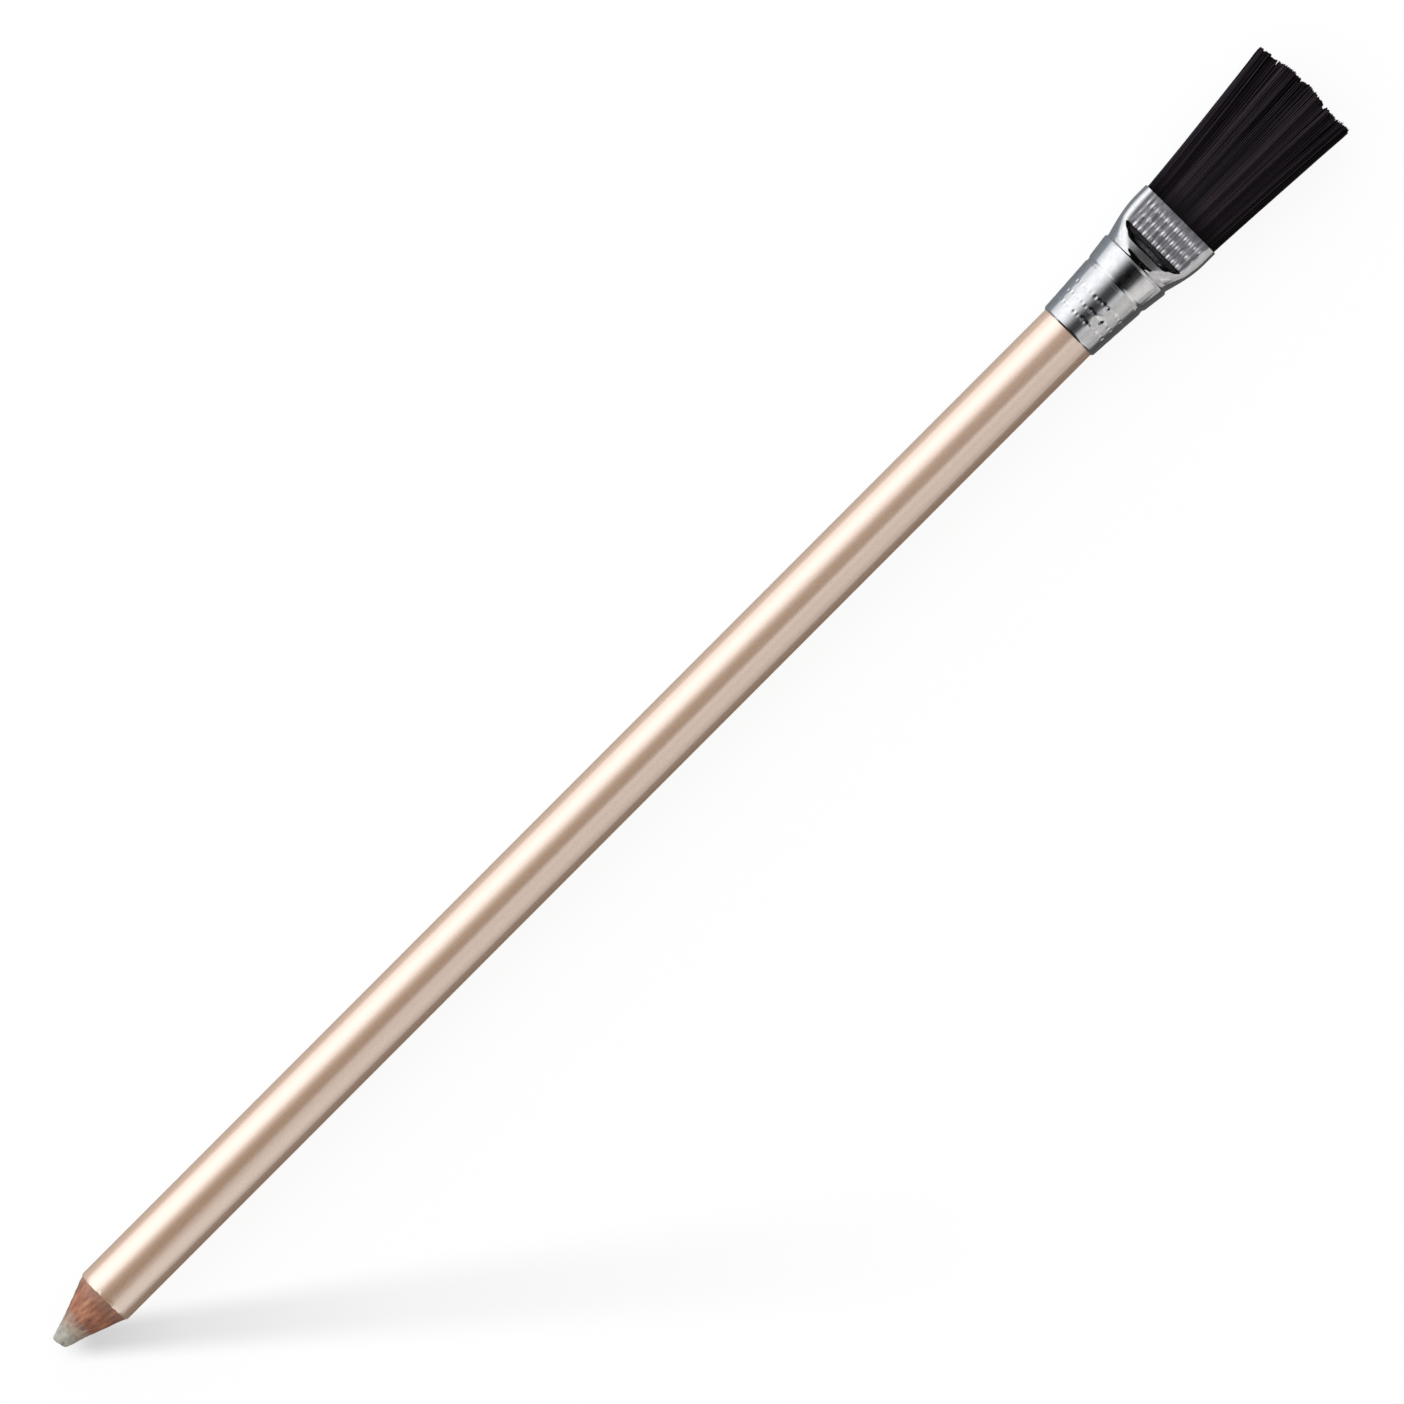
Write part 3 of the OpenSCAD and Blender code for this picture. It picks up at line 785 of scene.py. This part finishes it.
# The table beside the pencil as reflections see it, darkened close by with painted shade, at metres towards
# +Y, and where its flag ends towards -X and +X
TABLE_LEVELS = (
    (-0.06, 0.75), (-0.04, 0.5), (-0.025, 0.12), (-0.015, 0.09), (0, 0.14),
    (0.005, 0.26), (0.009, 0.26), (0.017, 0.34), (0.026, 0.38), (0.04, 0.78),
)
FLAG_X0 = -0.15
FLAG_X1 = 0.12
# Cards lie a little over the table, and one of them over the others
ON_TABLE = 0.0002
OVER_FLAG = 0.0004
# The painted shadow on the table beside the point: where it starts in millimetres from the tip, its direction
# in degrees from +X, half of its width there in millimetres, and how fast that grows
SHADOW_START = (0.6, -0.4)
SHADOW_TURN = -38.5
SHADOW_HALF = 2.4
SHADOW_SPREAD = 0.055
# How much of the floor's glow the painted shadow takes away, at millimetres from its start
SHADOW_DEPTHS = (
    (3, 0.34), (9, 0.26), (14, 0.2), (22, 0.165), (28, 0.135), (40, 0.09), (64, 0.05), (87, 0.02), (110, 0),
)
FLOOR_GLOW = 0.9
WORLD_LIGHT = 0.8


def studio_piece(name, points, faces, material, lights=False):
    """A glowing piece of the studio. It shows in reflections alone, or it lights matt surfaces alone."""
    mesh = bpy.data.meshes.new(name)
    mesh.from_pydata(points, [], faces)
    mesh.materials.append(material)
    made = bpy.data.objects.new(name, mesh)
    bpy.context.scene.collection.objects.link(made)
    made.visible_diffuse = lights
    made.visible_glossy = not lights
    for ray in ("camera", "transmission", "shadow", "volume_scatter"):
        setattr(made, "visible_" + ray, False)


def card(name, corners, level, colour="#FFFFFF", lights=False):
    """A card that glows at a level, where 1 is white."""
    material, tree = new_tree(name)
    glow = add(tree, "Emission", {"Color": linear(colour), "Strength": level})
    add(tree, "OutputMaterial", {"Surface": glow})
    studio_piece(name, corners, [(0, 1, 2, 3)], material, lights)


def leaning(y_foot, y_top, height, half_x=1.4):
    """Corners of a card that leans over the pencil from one side."""
    return [(-half_x, y_foot, 0), (half_x, y_foot, 0), (half_x, y_top, height), (-half_x, y_top, height)]


def level_card(x0, x1, y0, y1, z):
    """Corners of a level card."""
    return [(x0, y0, z), (x1, y0, z), (x1, y1, z), (x0, y1, z)]


def upright(x, y0, y1, z0, z1):
    """Corners of a card that stands across the end of the pencil."""
    return [(x, y0, z0), (x, y1, z0), (x, y1, z1), (x, y0, z1)]


def light_tent():
    """The tent. Reflections alone show it: bright on the left, dark along its top, warm grey on the right.
    The tapered neck looks past its middle, towards the tip, where the dark band is wider."""
    material, tree = new_tree("light_tent")
    place = own_place(tree)
    angle = add(tree, "Math", {0: place["Y"], 1: place["Z"]}, operation="ARCTAN2")
    share = add(tree, "MapRange", {"Value": angle, "From Min": -math.pi / 2, "From Max": math.pi / 2})
    over = []
    for levels in (BARREL_LEVELS, NECK_LEVELS):
        stops = []
        for degrees, level in levels:
            # The right side is a little warmer
            red, blue = (1.04, 0.97) if degrees < -40 else (1, 1.01)
            stops.append(((degrees + 90) / 180, tuple(level / TENT_PEAK * c for c in (red, 1, blue)) + (1,)))
        over.append(add(tree, "ValToRGB", {"Fac": share}, stops=stops))
    neck = add(tree, "MapRange", {"Value": place["X"], "From Min": BARREL_END, "From Max": NECK_START})
    colour = add(tree, "MixRGB", {"Fac": neck, "Color1": over[0], "Color2": over[1]})
    glow = add(tree, "Emission", {"Color": colour, "Strength": TENT_PEAK})
    add(tree, "OutputMaterial", {"Surface": glow})
    around = 48
    turns = np.radians(np.linspace(-90, 90, around + 1))
    ends = (-TENT_END, TENT_END)
    points = [(x, TENT_R * math.sin(t), TENT_R * math.cos(t)) for x in ends for t in turns]
    faces = [(k, k + 1, k + around + 2, k + around + 1) for k in range(around)]
    studio_piece("light_tent", points, faces, material)


def table_flag():
    """A graded flag on the table, painted shade that stands in for the table's shade beside the pencil, so
    that the pencil's sides reflect it darker close by.
    """
    material, tree = new_tree("table_flag")
    right, left = TABLE_LEVELS[0][0], TABLE_LEVELS[-1][0]
    share = add(tree, "MapRange", {"Value": own_place(tree)["Y"], "From Min": right, "From Max": left})
    stops = []
    for y, level in TABLE_LEVELS:
        # The left side is a little cooler
        red, blue = (0.93, 1.08) if y > 0 else (1, 1)
        stops.append(((y - right) / (left - right), (level * red, level, level * blue, 1)))
    graded = add(tree, "ValToRGB", {"Fac": share}, stops=stops)
    glow = add(tree, "Emission", {"Color": graded})
    add(tree, "OutputMaterial", {"Surface": glow})
    corners = level_card(FLAG_X0, FLAG_X1, right, left, ON_TABLE)
    studio_piece("table_flag", corners, [(0, 1, 2, 3)], material)


def seen(tree):
    """1 for a ray from the camera, a reflection or a refraction, and 0 for one that only carries light."""
    ray = add(tree, "LightPath").node.outputs
    mirrored = add(tree, "Math", {0: ray["Is Camera Ray"], 1: ray["Is Glossy Ray"]}, operation="MAXIMUM")
    return add(tree, "Math", {0: mirrored, 1: ray["Is Transmission Ray"]}, operation="MAXIMUM")


def painted_point_shadow(tree):
    """Level of the floor's glow, with a faint painted shadow that runs out from the point."""
    own = add(tree, "TexCoord").node.outputs["Object"]
    from_tip = add(tree, "Mapping", {
        "Vector": own,
        "Location": (TIP_X + SHADOW_START[0] * MM, SHADOW_START[1] * MM, 0),
        "Rotation": (0, 0, math.radians(SHADOW_TURN)),
    }, vector_type="TEXTURE")
    place = add(tree, "SeparateXYZ", {"Vector": from_tip}).node.outputs
    half = add(tree, "Math", {0: place["X"], 1: SHADOW_SPREAD, 2: SHADOW_HALF * MM}, operation="MULTIPLY_ADD")
    off = add(tree, "Math", {0: place["Y"]}, operation="ABSOLUTE")
    # Its edges are soft, from a fifth of the half width to a fifth beyond it
    across = add(tree, "Math", {0: off, 1: half}, operation="DIVIDE")
    core = add(tree, "MapRange", {
        "Value": across, "From Min": 1.2, "From Max": 0.2,
    }, interpolation_type="SMOOTHSTEP")
    start = add(tree, "MapRange", {
        "Value": place["X"], "From Min": -1.5 * MM, "From Max": 4 * MM,
    }, interpolation_type="SMOOTHSTEP")
    reach = SHADOW_DEPTHS[-1][0]
    along = add(tree, "MapRange", {"Value": place["X"], "From Max": reach * MM})
    stops = [(x / reach, (deep, deep, deep, 1)) for x, deep in SHADOW_DEPTHS]
    deepest = add(tree, "ValToRGB", {"Fac": along}, stops=stops)
    depth = add(tree, "Math", {0: start, 1: deepest}, operation="MULTIPLY")
    shade = add(tree, "Math", {0: core, 1: depth}, operation="MULTIPLY")
    return add(tree, "Math", {0: FLOOR_GLOW, 1: shade}, operation="SUBTRACT")


def white_floor():
    """A white table. It glows to whoever looks at it, so that it shows white and keeps the pencil's
    faint shadow. A painted shadow beside the point is taken out of its glow."""
    bpy.ops.mesh.primitive_plane_add(size=8)
    floor = bpy.context.object
    floor.name = "white_floor"
    material, tree = new_tree("white_floor")
    matt = add(tree, "BsdfDiffuse", {"Color": linear("#606060")})
    # The glow carries a painted shadow beside the point
    glow = add(tree, "Emission", {"Color": linear("#FFFFFF"), "Strength": painted_point_shadow(tree)})
    bright = add(tree, "AddShader", {0: matt, 1: glow})
    table = add(tree, "BsdfDiffuse", {"Color": linear("#E0E0E0")})
    shown = add(tree, "MixShader", {0: seen(tree), 1: table, 2: bright})
    add(tree, "OutputMaterial", {"Surface": shown})
    floor.data.materials.append(material)


def white_world():
    """White to whoever looks at it, and a softer level as light."""
    world = bpy.data.worlds.new("white_world")
    bpy.context.scene.world = world
    world.use_nodes = True
    tree = world.node_tree
    tree.nodes.clear()
    level = add(tree, "MapRange", {"Value": seen(tree), "To Min": WORLD_LIGHT, "To Max": 1.0})
    sky = add(tree, "Background", {"Color": linear("#FFFFFF"), "Strength": level})
    add(tree, "OutputWorld", {"Surface": sky})


def overhead_camera():
    """The photograph looks straight down, with the pencil across the picture's diagonal."""
    data = bpy.data.cameras.new("overhead_camera")
    data.sensor_width = 36
    data.lens = 656.4
    camera = bpy.data.objects.new("overhead_camera", data)
    camera.location = (0.00244, -0.00028, 3.005)
    camera.rotation_euler = (0, 0, math.radians(-45.04))
    bpy.context.scene.collection.objects.link(camera)
    bpy.context.scene.camera = camera


cedar = sharpened_cedar()
eraser_rod()
cedar_half("upper_cedar_half", "upper_slat", 1, cedar)
cedar_half("lower_cedar_half", "lower_slat", -1, cedar)
lacquer_sleeve()
pressed_ferrule()
nylon_filaments()

# The two adhesives keep their CAD solids
for name, slot, thin, thick in (
    ("glue_ring", "glue", "#E2D3A2", "#C8B27A"),
    ("resin_plug", "resin", "#D3A75A", "#A97B34"),
):
    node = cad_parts[name]
    node.data.materials.clear()
    node.data.materials.append(cast_adhesive("set_" + slot, thin, thick))

white_floor()
white_world()
# Two softboxes light matt surfaces, the left one more and cooler. All other cards show in reflections alone
card("left_softbox", leaning(0.9, 0.5, TENT_R), 1.6, "#F6FAFF", lights=True)
card("right_softbox", leaning(-0.9, -0.56, TENT_R), 0.35, "#FFF6EC", lights=True)
light_tent()
# Flags close the tent's ends, with a grey card at the brush's, and lie beside the pencil on the table
card("tip_flag", upright(-TENT_END, -TENT_R, TENT_R, 0, TENT_R), 0.03)
card("tip_table_flag", level_card(-TENT_END, FLAG_X0, -0.06, 0.9, ON_TABLE), 0.1)
card("brush_flag", upright(TENT_END, -TENT_R, TENT_R, 0, TENT_R), 0)
card("brush_card", upright(TENT_END - 0.01, -0.36, 0.12, 0.88, TENT_R), 0.15)
card("brush_table_flag", level_card(FLAG_X1, TENT_END, -0.4, 0.4, ON_TABLE), 0)
card("right_table_card", level_card(-TENT_END, TENT_END, -TENT_R, -0.06, ON_TABLE), 0.5, "#FFFAF6")
card("ferrule_table_card", level_card(0.0705, 0.4, -0.4, -0.017, OVER_FLAG), 0.62, "#FFFAF6")
card("brush_top_card", level_card(0.067, 0.4, -0.45, 0.3, 1.1), 0.2, "#FAF6FF")
# A graded flag of painted shade beside the pencil, which reflections alone see
table_flag()
overhead_camera()

bpy.context.scene.view_settings.view_transform = "Standard"
